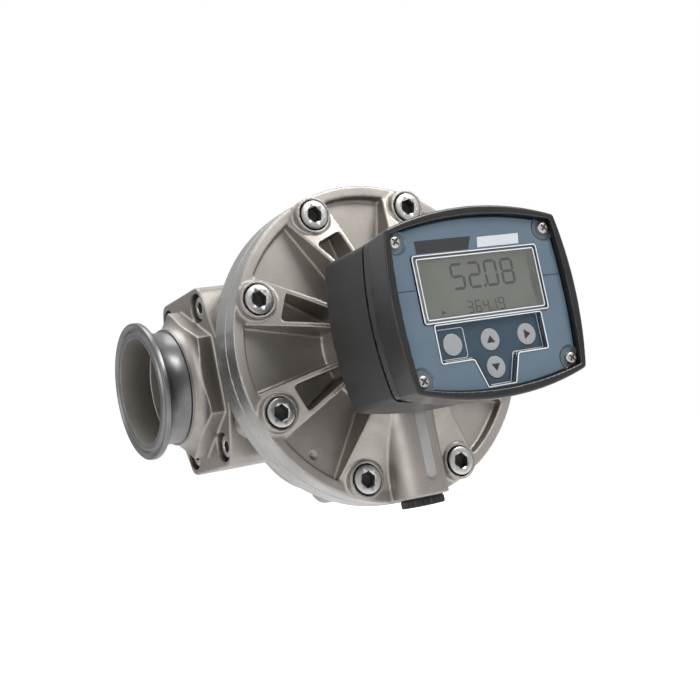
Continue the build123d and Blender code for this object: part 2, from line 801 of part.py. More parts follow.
# Bezel with its rear band, recess for the face panel and ledge for the board
with BuildPart() as display_bezel:
    with BuildSketch(facing(bezel_step_y)):
        add(bezel_outline(bezel_draft_x, bezel_draft_z))
    with BuildSketch(facing(bezel_front_y)):
        add(bezel_outline(0, 0))
    loft()
    fillet(display_bezel.faces().sort_by(Axis.Y)[0].edges(), bezel_edge_r)
    with BuildSketch(facing(bezel_back_y)):
        add(bezel_outline(bezel_draft_x + bezel_step, bezel_draft_z + bezel_step))
    extrude(amount=bezel_back_y - bezel_step_y)
    with BuildSketch(facing(bezel_back_y)):
        add(base_outline(base_wall, hollow_corner_r))
        with Locations(*front_screw_places):
            Circle(front_post_r, mode=Mode.SUBTRACT)
    extrude(amount=bezel_back_y - board_front_y, mode=Mode.SUBTRACT)
    with BuildSketch(facing(board_front_y)):
        add(recess_outline(ledge_width))
        with Locations(*front_screw_places):
            Circle(front_post_r, mode=Mode.SUBTRACT)
        with Locations(*board_screw_places):
            Circle(board_boss_r, mode=Mode.SUBTRACT)
    extrude(amount=board_front_y - panel_back_y, mode=Mode.SUBTRACT)
    with BuildSketch(facing(key_plate_back_y)):
        add(key_field_outline(-key_plate_margin - panel_gap))
    extrude(amount=key_plate_thickness, mode=Mode.SUBTRACT)
    with BuildSketch(facing(panel_back_y)):
        add(recess_outline(0))
        with Locations(*front_screw_places):
            Circle(front_post_r, mode=Mode.SUBTRACT)
    extrude(amount=panel_back_y - bezel_front_y, mode=Mode.SUBTRACT)
    with BuildSketch(facing(front_screw_seat_y)):
        add(recess_outline(0))
    extrude(amount=front_screw_seat_y - bezel_front_y, mode=Mode.SUBTRACT)
    with BuildSketch(facing(bezel_back_y)):
        with Locations(*front_screw_places):
            Circle(m4_shank_r + screw_way)
    extrude(amount=bezel_back_y - front_screw_seat_y, mode=Mode.SUBTRACT)
    with BuildSketch(facing(board_front_y)):
        with Locations(*board_screw_places):
            Circle(m3_shank_r + thread_gap)
    extrude(amount=board_screw_length, mode=Mode.SUBTRACT)
save(display_bezel, "display_bezel")

with BuildPart() as bezel_gasket:
    with BuildSketch(facing(base_front_y)):
        add(base_outline(gasket_inset))
        add(base_outline(base_wall, hollow_corner_r), mode=Mode.SUBTRACT)
        with Locations(*front_screw_places):
            Circle(front_post_r - 2 * gasket_inset)
        add(base_outline(gasket_inset), mode=Mode.INTERSECT)
        with Locations(*front_screw_places):
            Circle(m4_shank_r + screw_way, mode=Mode.SUBTRACT)
    extrude(amount=base_front_y - bezel_back_y)
save(bezel_gasket, "bezel_gasket")

# Pan head screws with a cross recess
with BuildPart() as front_screws:
    with BuildSketch(facing(front_screw_seat_y)):
        with Locations(*front_screw_places):
            Circle(front_screw_head_r)
    extrude(amount=front_screw_head_height)
    fillet(front_screws.faces().filter_by(Axis.Y).group_by(Axis.Y)[0].edges(), front_screw_head_edge_r)
    with BuildSketch(facing(front_screw_seat_y)):
        with Locations(*front_screw_places):
            Circle(thread_core_r)
    extrude(amount=-front_screw_length)
    with BuildSketch(facing(front_screw_seat_y - front_screw_head_height)):
        with Locations(*front_screw_places):
            Rectangle(cross_length, cross_width, rotation=45)
            Rectangle(cross_length, cross_width, rotation=-45)
    extrude(amount=-cross_depth, mode=Mode.SUBTRACT)
save(front_screws, "display_screws")


# Face panel with openings for the window and the key field
key_places = {
    "enter": (-key_pitch, key_row_z),
    "up": (0, key_row_z),
    "right": (key_pitch, key_row_z),
    "down": (0, down_key_z),
}
with BuildPart() as face_panel:
    with BuildSketch(facing(panel_back_y)):
        add(recess_outline(panel_gap))
        with Locations(*front_screw_places):
            Circle(front_post_r, mode=Mode.SUBTRACT)
        add(window_outline(-panel_gap), mode=Mode.SUBTRACT)
        add(key_field_outline(-panel_gap), mode=Mode.SUBTRACT)
    extrude(amount=panel_thickness)
    chamfer(face_panel.faces().sort_by(Axis.Y)[0].outer_wire().edges(), panel_bevel)
save(face_panel, "face_panel")

# Clear window over the display with a thin clear rim round the key field
with BuildPart() as window_lens:
    with BuildSketch(facing(panel_back_y)):
        add(window_outline(0))
    extrude(amount=panel_thickness + window_proud)
    with BuildSketch(facing(panel_back_y)):
        add(key_field_outline(0))
        add(key_field_outline(key_field_rim), mode=Mode.SUBTRACT)
    extrude(amount=panel_thickness + key_field_proud)
save(window_lens, "window_lens")

with BuildPart() as key_plate:
    with BuildSketch(facing(panel_back_y + key_plate_thickness)):
        add(key_field_outline(-key_plate_margin))
        with Locations((0, window_low_z)):
            Rectangle(2 * window_half_width, 2 * key_plate_margin, align=(Align.CENTER, Align.MIN),
                      mode=Mode.SUBTRACT)
        with Locations(*key_places.values()):
            Circle(key_r + key_gap, mode=Mode.SUBTRACT)
    extrude(amount=key_plate_thickness)
save(key_plate, "key_plate")

for key_name, place in key_places.items():
    with BuildPart() as key:
        with BuildSketch(facing(key_plate_back_y + key_rest_gap)):
            with Locations(place):
                Circle(key_r)
        extrude(amount=key_rest_gap + key_plate_thickness + key_proud)
        fillet(key.faces().sort_by(Axis.Y)[0].edges(), key_edge_r)
        with BuildSketch(facing(key_plate_back_y + key_rest_gap + key_flange_width)):
            with Locations(place):
                Circle(key_flange_r)
        extrude(amount=key_flange_width)
    save(key, f"{key_name}_key")

# Boards, display module, switch domes and battery
with BuildPart() as display_board:
    with BuildSketch(facing(board_back_y)):
        add(base_outline(base_wall + board_gap, hollow_corner_r))
        with Locations(*front_screw_places):
            Circle(front_post_r + board_gap, mode=Mode.SUBTRACT)
        with Locations(*board_screw_places):
            Circle(m3_shank_r + screw_way, mode=Mode.SUBTRACT)
    extrude(amount=board_thickness)
save(display_board, "display_board")
board_screws = cap_screws(behind(board_back_y), board_screw_places, m3_head_r, m3_head_height, m3_hex,
                          m3_shank_r, board_screw_length)
save(board_screws, "board_screws")

with BuildPart() as lcd_module:
    with BuildSketch(facing(board_front_y)):
        with Locations((0, (lcd_low_z + lcd_high_z) / 2)):
            Rectangle(2 * lcd_half_width, lcd_high_z - lcd_low_z)
    extrude(amount=board_front_y - lcd_front_y)
save(lcd_module, "lcd_module")

with BuildPart() as key_domes:
    with BuildSketch(facing(board_front_y)):
        with Locations(*key_places.values()):
            Circle(dome_r)
    extrude(amount=board_front_y - (key_plate_back_y + key_flange_width + key_travel + 2 * key_rest_gap))
save(key_domes, "key_domes")

battery_y = board_back_y + holder_floor + battery_r + seat_gap
holder_end = Plane(origin=(mid_x - battery_length / 2 - holder_wall, 0, 0), x_dir=(0, 1, 0), z_dir=(1, 0, 0))
with BuildPart() as battery_holder:
    with BuildSketch(holder_end):
        with Locations((board_back_y, battery_z)):
            Rectangle(holder_floor + battery_r, 2 * (battery_r + holder_wall), align=(Align.MIN, Align.CENTER))
    extrude(amount=battery_length + 2 * holder_wall)
    with BuildSketch(holder_end.offset(holder_wall)):
        with Locations((battery_y, battery_z)):
            Circle(battery_r + seat_gap)
    extrude(amount=battery_length, mode=Mode.SUBTRACT)
save(battery_holder, "battery_holder")
with BuildPart() as battery:
    with BuildSketch(holder_end.offset(holder_wall + seat_gap)):
        with Locations((battery_y, battery_z)):
            Circle(battery_r)
    extrude(amount=battery_length - 2 * seat_gap)
save(battery, "battery")

# Pulse board in the turret, its two sensors over the circle the magnets run on
sensor_x = 2 * sensor_size
sensor_places = [(0, rotor_spacing / 2 - magnet_offset),
                 (sensor_x, rotor_spacing / 2 - math.sqrt(magnet_offset ** 2 - sensor_x ** 2))]
pulse_front_y = pulse_board_y - board_thickness
with BuildPart() as pulse_board:
    with BuildSketch(facing(pulse_board_y)):
        Circle(pulse_board_r)
        with Locations(*pulse_screw_places):
            Circle(m3_shank_r + screw_way, mode=Mode.SUBTRACT)
    extrude(amount=board_thickness)
save(pulse_board, "pulse_board")
pulse_screws = cap_screws(facing(pulse_front_y), pulse_screw_places, m3_head_r, m3_head_height, m3_hex,
                          m3_shank_r, m3_length)
save(pulse_screws, "pulse_board_screws")
with BuildPart() as pulse_sensors:
    with BuildSketch(facing(pulse_board_y + sensor_height)):
        with Locations(*sensor_places):
            Rectangle(sensor_size, sensor_size)
    extrude(amount=sensor_height)
save(pulse_sensors, "pulse_sensors")
with BuildPart() as terminal_block:
    with BuildSketch(facing(pulse_front_y)):
        Rectangle(terminal_length, terminal_height)
    extrude(amount=terminal_depth)
    with BuildSketch(facing(pulse_front_y - terminal_depth)):
        with GridLocations(terminal_length / terminal_ways, 0, terminal_ways, 1):
            Circle(terminal_way_r)
    extrude(amount=-terminal_depth / 2, mode=Mode.SUBTRACT)
save(terminal_block, "terminal_block")

# Blanking plug and its seal in the conduit boss
with BuildPart() as plug_seal:
    with BuildSketch(conduit_end):
        Circle(plug_head_r - gasket_inset)
        Circle(conduit_thread_r, mode=Mode.SUBTRACT)
    extrude(amount=plug_seal_width)
save(plug_seal, "plug_seal")
with BuildPart() as conduit_plug:
    with BuildSketch(conduit_end.offset(plug_seal_width)):
        Circle(plug_head_r)
    extrude(amount=plug_head_height)
    with BuildSketch(conduit_end.offset(plug_seal_width)):
        Circle(conduit_thread_r - thread_gap)
    extrude(amount=-plug_thread_length)
save(conduit_plug, "conduit_plug")
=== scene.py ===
import math

import bmesh
import bpy
from mathutils import Matrix, Vector


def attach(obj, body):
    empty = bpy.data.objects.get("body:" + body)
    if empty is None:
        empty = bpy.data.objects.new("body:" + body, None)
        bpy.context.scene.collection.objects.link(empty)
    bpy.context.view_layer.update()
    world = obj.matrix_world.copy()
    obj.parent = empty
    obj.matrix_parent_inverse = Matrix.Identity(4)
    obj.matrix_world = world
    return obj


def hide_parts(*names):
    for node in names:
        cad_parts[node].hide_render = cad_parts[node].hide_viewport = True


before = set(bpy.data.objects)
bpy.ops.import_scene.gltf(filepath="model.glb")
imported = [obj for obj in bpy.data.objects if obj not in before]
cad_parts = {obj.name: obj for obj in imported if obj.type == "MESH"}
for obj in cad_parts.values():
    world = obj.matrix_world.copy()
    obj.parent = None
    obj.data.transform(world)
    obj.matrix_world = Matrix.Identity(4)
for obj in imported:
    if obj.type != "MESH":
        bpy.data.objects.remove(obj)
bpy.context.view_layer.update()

MM = 0.001

# Places and sizes in the row frame, millimetres; x and z are measured from the cover axis
MID_X = 116.4
JOINT_Y = -65.0
COVER_Y = -76.6
FLANGE_BACK_Y = -51.0
RIM_R = 89.4
BOSS_R = 10.3
BOSS_TOP_Y = -82.6
BOLT_SEAT_Y = -73.9
BOLT_CIRCLE = 79.1
BORE_R = 8.5
BOLT_COUNT = 8
STEP = 360.0 / BOLT_COUNT
CONDUIT_ANGLE = 270
POCKET_FLOOR_Y = -71.0
POCKET_OUTER_R = 83.0
POCKET_HALF = 18.6
POCKET_INNER_ANGLE = 13.4
WEDGE_OUTER_R = 64.6
WEDGE_HALF = 7.9
WEDGE_INNER_ANGLE = 4.9
WEDGE_CORNER_R = 1.6
MARK_PLACE = (-53.4, -54.8)
MARK_R = 1.8
TURRET_R = 35.0
TURRET_TOP_Y = -111.5
CONE = ((82.5, COVER_Y), (64.0, -83.9), (50.0, -89.1), (TURRET_R, -93.0))
CONDUIT_Y = -84.0
CONDUIT_R = 15.2
CONDUIT_END_Z = -88.0
PLUG_WAY_R = 10.0
PLUG_WAY_END_Z = -74.0
LAND_Y = -98.7
LAND_HALF = 3.4
LAND_END_Z = -79.7
COLLAR_R = 33.3
COLLAR_START = 91.8
COLLAR_END = 98.6
PORT_END = 116.4
PORT_BORE = 30.1
PORT_SCREW_SEAT = 72.5
PORT_SCREW_Y = 22.0
PORT_SCREW_Z = 39.6
POST_X = 44.5
POST_Z = 33.7
POST_R = 5.8
POST_Y = -176.6
SCREW_CROSS_Y = -177.6
LCD_Y = -174.8
PANEL_Y = -177.5
LENS_Y = -178.3
FIELD_Y = -175.0
KEY_Y = -175.6
FILM = 0.05
LINE_HEIGHT = 0.12
BODY = "meter"

# Floor height and depth of the turning lines in metres, lines to the metre, and the clear face's index
FLOOR_Z = -0.42
TURNED_DEPTH = 0.000012
TURNED_SCALE = 2600.0
CLEAR_IOR = 1.49


# Node graphs
def new_material(name):
    material = bpy.data.materials.new(name)
    material.use_nodes = True
    tree = material.node_tree
    shader = tree.nodes["Principled BSDF"]
    return material, tree, shader


def add(tree, kind, inputs=None, **settings):
    node = tree.nodes.new(kind)
    for key, value in settings.items():
        setattr(node, key, value)
    for key, value in (inputs or {}).items():
        if hasattr(value, "links"):
            tree.links.new(value, node.inputs[key])
        else:
            node.inputs[key].default_value = value
    return node


def maths(tree, operation, a, b=0.0):
    return add(tree, "ShaderNodeMath", {0: a, 1: b}, operation=operation).outputs[0]


def place(tree):
    return add(tree, "ShaderNodeTexCoord").outputs["Object"]


def noise(tree, where, scale, detail, rough):
    inputs = {"Vector": where, "Scale": scale, "Detail": detail, "Roughness": rough}
    return add(tree, "ShaderNodeTexNoise", inputs).outputs["Fac"]


def between(tree, share, low, high):
    """Number that runs from low to high as share runs from 0 to 1."""
    inputs = {"Value": share, "To Min": low, "To Max": high}
    return add(tree, "ShaderNodeMapRange", inputs).outputs["Result"]


def colour_mix(tree, share, low, high):
    """Colour that runs from low to high; either may be a plain colour or another node's."""
    node = add(tree, "ShaderNodeMix", data_type="RGBA")
    tree.links.new(share, node.inputs["Factor"])
    for socket, value in ((node.inputs[6], low), (node.inputs[7], high)):
        if hasattr(value, "links"):
            tree.links.new(value, socket)
        else:
            socket.default_value = (*value, 1.0)
    return node.outputs[2]


def bump(tree, height, depth, strength):
    inputs = {"Height": height, "Distance": depth, "Strength": strength}
    return add(tree, "ShaderNodeBump", inputs).outputs["Normal"]


def spread(tree, share, width):
    """Sharpens a noise value round its middle."""
    inputs = {"Value": share, "From Min": 0.5 - width, "From Max": 0.5 + width}
    return add(tree, "ShaderNodeMapRange", inputs).outputs["Result"]


def blend_of(tree, a, share_a, b, share_b):
    """Sum of two values, each times its share."""
    return maths(tree, "ADD", maths(tree, "MULTIPLY", a, share_a), maths(tree, "MULTIPLY", b, share_b))


SOCKETS = {"colour": "Base Color", "rough": "Roughness", "metal": "Metallic", "normal": "Normal",
           "coat": "Coat Weight", "coat_rough": "Coat Roughness", "ior": "IOR",
           "glass": "Transmission Weight", "spec": "Specular IOR Level"}


def set_shader(tree, shader, **values):
    for key, value in values.items():
        socket = shader.inputs[SOCKETS[key]]
        if hasattr(value, "links"):
            tree.links.new(value, socket)
        elif key == "colour":
            socket.default_value = (*value, 1.0)
        else:
            socket.default_value = value


def cast_metal(name, light, dark, rough_low, rough_high, grain=0.00005):
    """Fine cast and blasted steel: soft mottling, close grain and small pits."""
    material, tree, shader = new_material(name)
    where = place(tree)
    mottle = noise(tree, where, 38.0, 4.0, 0.6)
    fine = noise(tree, where, 900.0, 3.0, 0.65)
    grit = noise(tree, where, 2600.0, 2.0, 0.6)
    tone = spread(tree, mottle, 0.22)
    speckle = spread(tree, fine, 0.25)
    shade = colour_mix(tree, tone, dark, light)
    shade = colour_mix(tree, maths(tree, "MULTIPLY", speckle, 0.30), shade, [c * 1.25 for c in light])
    height = blend_of(tree, fine, 0.7, grit, 0.5)
    rough = between(tree, blend_of(tree, tone, 0.6, speckle, 0.4), rough_high, rough_low)
    set_shader(tree, shader, colour=shade, metal=1.0, rough=rough, normal=bump(tree, height, grain, 0.8))
    return material


def turned_metal(name, light, dark, rough_low, rough_high, axis, centre=(0.0, 0.0, 0.0)):
    """Lathe-turned steel: fine lines that run round the axis, with soft cloudy patches."""
    material, tree, shader = new_material(name)
    where = place(tree)
    moved = add(tree, "ShaderNodeVectorMath", {0: where, 1: centre}, operation="SUBTRACT").outputs[0]
    parts = add(tree, "ShaderNodeSeparateXYZ", {0: moved}).outputs
    along = parts["XYZ".index(axis)]
    a, b = [parts[i] for i in range(3) if i != "XYZ".index(axis)]
    radius = maths(tree, "SQRT", blend_of(tree, a, a, b, b))
    lines_at = add(tree, "ShaderNodeCombineXYZ", {0: along, 1: radius, 2: 0.0}).outputs[0]
    close = noise(tree, lines_at, TURNED_SCALE, 2.0, 0.7)
    wide = noise(tree, lines_at, TURNED_SCALE / 9, 2.0, 0.5)
    cloud = spread(tree, noise(tree, where, 55.0, 3.0, 0.6), 0.25)
    both = blend_of(tree, close, 0.6, wide, 0.4)
    tone = blend_of(tree, both, 0.6, cloud, 0.4)
    set_shader(tree, shader, colour=colour_mix(tree, tone, dark, light), metal=1.0,
               rough=between(tree, tone, rough_high, rough_low), normal=bump(tree, both, TURNED_DEPTH, 0.7))
    return material


def plastic(name, light, dark, rough_low, rough_high, grain_scale, grain, coat=0.0, spec=0.5):
    """Moulded plastic with a fine spark-eroded texture."""
    material, tree, shader = new_material(name)
    where = place(tree)
    cloud = spread(tree, noise(tree, where, 45.0, 3.0, 0.6), 0.25)
    fine = noise(tree, where, grain_scale, 3.0, 0.7)
    rough = between(tree, blend_of(tree, cloud, 0.5, fine, 0.5), rough_low, rough_high)
    set_shader(tree, shader, colour=colour_mix(tree, cloud, dark, light), rough=rough, spec=spec,
               normal=bump(tree, fine, grain, 0.6), coat=coat, coat_rough=0.12)
    return material


def clear_plastic(name, tint, rough):
    material, tree, shader = new_material(name)
    smear = noise(tree, place(tree), 60.0, 3.0, 0.6)
    set_shader(tree, shader, colour=tint, rough=between(tree, smear, rough * 0.5, rough * 1.5), glass=1.0,
               ior=CLEAR_IOR)
    return material


CAST = cast_metal("cast_steel", (0.405, 0.376, 0.350), (0.300, 0.276, 0.255), 0.38, 0.54)
CAST_PORT = cast_metal("cast_steel_port", (0.360, 0.335, 0.312), (0.255, 0.235, 0.218), 0.36, 0.52)
COVER_AXIS = (MID_X * MM, 0, 0)
RIM = turned_metal("turned_rim", (0.56, 0.55, 0.54), (0.20, 0.197, 0.193), 0.20, 0.36, "Y", COVER_AXIS)
FERRULE = turned_metal("turned_ferrule", (0.29, 0.288, 0.287), (0.085, 0.085, 0.086), 0.22, 0.42, "X")
# Painted light: the bores get a much lighter steel colour than the casting, standing in for the light that
# falls inside them
BORE_PAINTED_LIGHT = cast_metal("bore_painted_light", (0.60, 0.57, 0.54), (0.46, 0.435, 0.41), 0.42, 0.58, 0.00002)
BRIGHT = turned_metal("bright_steel", (0.74, 0.73, 0.72), (0.38, 0.373, 0.363), 0.24, 0.38, "Y", COVER_AXIS)
SCREW = cast_metal("screw_steel", (0.56, 0.55, 0.535), (0.45, 0.44, 0.428), 0.30, 0.40, 0.000002)
# Painted shade: near-black colour for the inside of the hex sockets and for crosses in the display screws'
# recesses, standing in for the shade in them
SOCKET = plastic("socket_shadow", (0.060, 0.058, 0.056), (0.036, 0.035, 0.034), 0.40, 0.55, 1800.0,
                 0.000004)
RUBBER = plastic("seal_rubber", (0.02, 0.02, 0.02), (0.012, 0.012, 0.012), 0.55, 0.75, 1800.0, 0.00003)
# Painted shade: near-black, almost unreflecting colour for bands that stand in for the shade in the housing's
# seams
SEAM_SHADE = plastic("shadow_gap", (0.0022, 0.0022, 0.0022), (0.0014, 0.0014, 0.0014), 0.70, 0.85, 1800.0,
              0.00001, spec=0.05)
HOUSING = plastic("housing_plastic", (0.017, 0.0172, 0.0172), (0.011, 0.0112, 0.0114), 0.30, 0.42, 2400.0,
                  0.00001)
BEZEL = plastic("bezel_plastic", (0.015, 0.0153, 0.0157), (0.009, 0.0092, 0.0095), 0.16, 0.26, 2600.0,
                0.000005, spec=0.60)
PLUG = plastic("plug_plastic", (0.014, 0.014, 0.015), (0.009, 0.009, 0.010), 0.34, 0.48, 2000.0, 0.00002)
PANEL = plastic("panel_blue", (0.106, 0.152, 0.200), (0.091, 0.133, 0.177), 0.16, 0.26, 3000.0, 0.000004,
                coat=0.4)
KEY_FIELD = plastic("key_field", (0.035, 0.062, 0.092), (0.027, 0.050, 0.077), 0.14, 0.22, 3000.0, 0.000004,
                    coat=0.4)
KEY_FACE = plastic("key_face", (0.31, 0.32, 0.335), (0.26, 0.268, 0.282), 0.30, 0.42, 2600.0, 0.00001)
INK = plastic("dark_ink", (0.020, 0.022, 0.026), (0.013, 0.015, 0.018), 0.32, 0.44, 2600.0, 0.00001)
PALE_INK = plastic("pale_ink", (0.60, 0.63, 0.66), (0.50, 0.53, 0.57), 0.28, 0.38, 2600.0, 0.00001)
# Painted highlight: pale, nearly white colour for the raised edges of the clear face, standing in for the
# light they catch
LINE_HIGHLIGHT = plastic("painted_edge_highlight", (0.74, 0.78, 0.82), (0.60, 0.64, 0.68), 0.14, 0.24, 2600.0, 0.00001, coat=0.5)
POST = plastic("post_grey", (0.115, 0.135, 0.160), (0.085, 0.102, 0.124), 0.20, 0.30, 2600.0, 0.00001,
               coat=0.4)
LCD = plastic("lcd_glass", (0.285, 0.285, 0.248), (0.250, 0.250, 0.216), 0.20, 0.30, 3200.0, 0.000004)
SEGMENT = plastic("lcd_segment", (0.085, 0.085, 0.078), (0.070, 0.070, 0.064), 0.30, 0.40, 3200.0, 0.000004)
FAINT = plastic("lcd_faint", (0.205, 0.205, 0.180), (0.185, 0.185, 0.162), 0.30, 0.40, 3200.0, 0.000004)
LENS = clear_plastic("clear_lens", (0.95, 0.965, 0.97), 0.03)
BOARD = plastic("circuit_board", (0.03, 0.16, 0.08), (0.02, 0.12, 0.06), 0.30, 0.42, 900.0, 0.00002)


# Pieces
def finish_piece(obj, *materials, body=BODY, nodes=()):
    """Gives a piece its materials and its body; clearing an empty list would reset the faces' slots."""
    if obj.data.materials:
        obj.data.materials.clear()
    for material in materials:
        obj.data.materials.append(material)
    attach(obj, body)
    if nodes:
        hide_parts(*nodes)


def piece(name, data):
    obj = bpy.data.objects.new(name, data)
    bpy.context.scene.collection.objects.link(obj)
    return obj


def at(x, y, z):
    """Row frame place in metres of millimetres measured from the cover axis."""
    return Vector(((MID_X + x) * MM, y * MM, z * MM))


def mesh_from(bm, name, smooth_angle=32.0):
    bmesh.ops.recalc_face_normals(bm, faces=bm.faces)
    data = bpy.data.meshes.new(name)
    bm.to_mesh(data)
    bm.free()
    data.shade_smooth()
    data.set_sharp_from_angle(angle=math.radians(smooth_angle))
    return data


def add_prism(bm, points, y_back, y_front):
    """Closed prism on an outline of (x, z) points."""
    back = [bm.verts.new(at(x, y_back, z)) for x, z in points]
    front = [bm.verts.new(at(x, y_front, z)) for x, z in points]
    bm.faces.new(back)
    bm.faces.new(front)
    for i in range(len(points)):
        j = (i + 1) % len(points)
        bm.faces.new((back[i], back[j], front[j], front[i]))


def add_band(bm, outer, inner, y_back, y_front):
    """Closed band between two outlines with equally many points."""
    rows = [[bm.verts.new(at(x, y, z)) for x, z in points]
            for points, y in ((outer, y_back), (outer, y_front), (inner, y_front), (inner, y_back))]
    count = len(outer)
    for k in range(4):
        a, b = rows[k], rows[(k + 1) % 4]
        for i in range(count):
            bm.faces.new((a[i], a[(i + 1) % count], b[(i + 1) % count], b[i]))


def add_turned(bm, profile, frame_at, segments, second_slot=()):
    """Surface turned from a profile of (radius, along) points. frame_at gives a place from a radius, an angle
    and a length along the axis. The profile's steps in second_slot get the second material."""
    rows = []
    for radius, along in profile:
        angles = [2 * math.pi * i / segments for i in range(1 if radius == 0 else segments)]
        rows.append([bm.verts.new(frame_at(radius, angle, along)) for angle in angles])
    for k in range(len(rows) - 1):
        a, b = rows[k], rows[k + 1]
        for i in range(segments):
            j = (i + 1) % segments
            corners = [a[i % len(a)], a[j % len(a)], b[j % len(b)], b[i % len(b)]]
            corners = [v for n, v in enumerate(corners) if v not in corners[:n]]
            if len(corners) > 2:
                face = bm.faces.new(corners)
                face.material_index = 1 if k in second_slot else 0


def round_cover(radius, angle, along):
    return at(radius * math.cos(angle), along, radius * math.sin(angle))


def round_conduit(radius, angle, along):
    return at(radius * math.cos(angle), CONDUIT_Y + radius * math.sin(angle), along)


def solid(name, build):
    """Scene piece with the faces that build adds to a mesh."""
    bm = bmesh.new()
    build(bm)
    bmesh.ops.recalc_face_normals(bm, faces=bm.faces)
    data = bpy.data.meshes.new(name)
    bm.to_mesh(data)
    bm.free()
    return piece(name, data)


def applied(obj):
    """Turns the modifiers of a scene piece into its mesh."""
    graph = bpy.context.evaluated_depsgraph_get()
    done = bpy.data.meshes.new_from_object(obj.evaluated_get(graph))
    obj.modifiers.clear()
    obj.data = done


def combine(obj, operation, name, build):
    """Boolean of a piece with the solid that build makes."""
    other = solid(name, build)
    cut = obj.modifiers.new("combine", "BOOLEAN")
    cut.operation = operation
    cut.solver = "EXACT"
    cut.use_self = True
    cut.object = other
    applied(obj)
    bpy.data.objects.remove(other)


def cast_surface(obj, voxel, rounds, keep):
    """Even skin with soft casting edges in place of the sharp solid."""
    skin = obj.modifiers.new("skin", "REMESH")
    skin.mode = "VOXEL"
    skin.voxel_size = voxel * MM
    skin.use_smooth_shade = True
    soften = obj.modifiers.new("soften", "SMOOTH")
    soften.factor = 0.5
    soften.iterations = rounds
    thin = obj.modifiers.new("thin", "DECIMATE")
    thin.ratio = keep
    applied(obj)
    obj.data.shade_smooth()
    obj.data.set_sharp_from_angle(angle=math.radians(60.0))


def copy_of(node, name):
    """Piece with the node's mesh, its faces joined along their edges."""
    bm = bmesh.new()
    bm.from_mesh(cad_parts[node].data)
    bmesh.ops.remove_doubles(bm, verts=bm.verts, dist=2e-6)
    data = bpy.data.meshes.new(name)
    bm.to_mesh(data)
    bm.free()
    return piece(name, data)


def rotated(points, angle):
    cos, sin = math.cos(math.radians(angle)), math.sin(math.radians(angle))
    return [(x * cos - z * sin, x * sin + z * cos) for x, z in points]


def rotated_about(points, x, z, angle):
    return [(a + x, b + z) for a, b in rotated([(a - x, b - z) for a, b in points], angle)]


def rounded(points, radius, steps=5):
    """Outline with every corner replaced by an arc."""
    done = []
    count = len(points)
    for i in range(count):
        here = Vector(points[i])
        to_last = (Vector(points[i - 1]) - here).normalized()
        to_next = (Vector(points[(i + 1) % count]) - here).normalized()
        half = to_last.angle(to_next) / 2
        reach = radius / math.tan(half)
        start, end = here + to_last * reach, here + to_next * reach
        middle = here + (to_last + to_next).normalized() * (radius / math.sin(half))
        for k in range(steps + 1):
            share = k / steps
            spoke = (start - middle).lerp(end - middle, share)
            done.append(tuple(middle + spoke.normalized() * radius))
    return done


def box(x0, z0, x1, z1):
    return [(x0, z0), (x1, z0), (x1, z1), (x0, z1)]


def circle(x, z, radius, count=48):
    angles = [2 * math.pi * i / count for i in range(count)]
    return [(x + radius * math.cos(angle), z + radius * math.sin(angle)) for angle in angles]


def on_circle(radius, angle):
    return rotated([(radius, 0.0)], angle)[0]


def arc(radius, start, end, steps):
    return [on_circle(radius, start + (end - start) * i / steps) for i in range(steps + 1)]


BOLT_PLACES = [on_circle(BOLT_CIRCLE, STEP / 2 + STEP * n) for n in range(BOLT_COUNT)]


# Cover casting: rim, ribbed cone, bolt bosses, turret and conduit boss
def cover_blank(bm):
    add_turned(bm, [(0, JOINT_Y), (RIM_R, JOINT_Y), (RIM_R, COVER_Y), *CONE, (TURRET_R, TURRET_TOP_Y),
                    (0, TURRET_TOP_Y)], round_cover, 160)


def cover_pockets(bm):
    """Round pockets between the bolts and wedge pockets behind them, except at the conduit boss."""
    for n in range(BOLT_COUNT):
        angle = STEP * n
        if angle != CONDUIT_ANGLE:
            lean = math.degrees(math.asin(POCKET_HALF / POCKET_OUTER_R))
            pocket = arc(POCKET_OUTER_R, -lean, lean, 14)
            pocket += arc(TURRET_R, POCKET_INNER_ANGLE, -POCKET_INNER_ANGLE, 6)
            add_prism(bm, rotated(pocket, angle), POCKET_FLOOR_Y, TURRET_TOP_Y - 2)
        if abs(angle + STEP / 2 - CONDUIT_ANGLE) > STEP:
            corners = [(WEDGE_OUTER_R, -WEDGE_HALF), (WEDGE_OUTER_R, WEDGE_HALF),
                       *arc(TURRET_R, WEDGE_INNER_ANGLE, -WEDGE_INNER_ANGLE, 1)]
            wedge = rounded(corners, WEDGE_CORNER_R, 4)
            add_prism(bm, rotated(wedge, angle + STEP / 2), POCKET_FLOOR_Y, TURRET_TOP_Y - 2)


def cover_bosses(bm):
    for x, z in BOLT_PLACES:
        add_prism(bm, circle(x, z, BOSS_R), JOINT_Y - 2, BOSS_TOP_Y)


def conduit_boss(bm):
    add_turned(bm, [(0, CONDUIT_END_Z - 6), (CONDUIT_R, CONDUIT_END_Z - 6), (CONDUIT_R, -30), (0, -30)],
               round_conduit, 64)


def land_outline(half, start_z):
    """Strip on the conduit boss from start_z down to a round end."""
    foot = LAND_END_Z + LAND_HALF
    points = [(half, start_z), (-half, start_z)]
    for i in range(11):
        angle = math.pi + math.pi * i / 10
        points.append((half * math.cos(angle), foot + half * math.sin(angle)))
    return points


def cover_cuts(bm):
    for x, z in BOLT_PLACES:
        add_prism(bm, circle(x, z, BORE_R), BOLT_SEAT_Y, -92.0)
    add_prism(bm, box(-30.0, CONDUIT_END_Z, 30.0, CONDUIT_END_Z - 10), JOINT_Y + 2, -110.0)
    add_prism(bm, land_outline(LAND_HALF, -TURRET_R + 1), LAND_Y, -104.0)
    add_prism(bm, circle(*MARK_PLACE, MARK_R, 20), POCKET_FLOOR_Y + 1.2, POCKET_FLOOR_Y - 4)


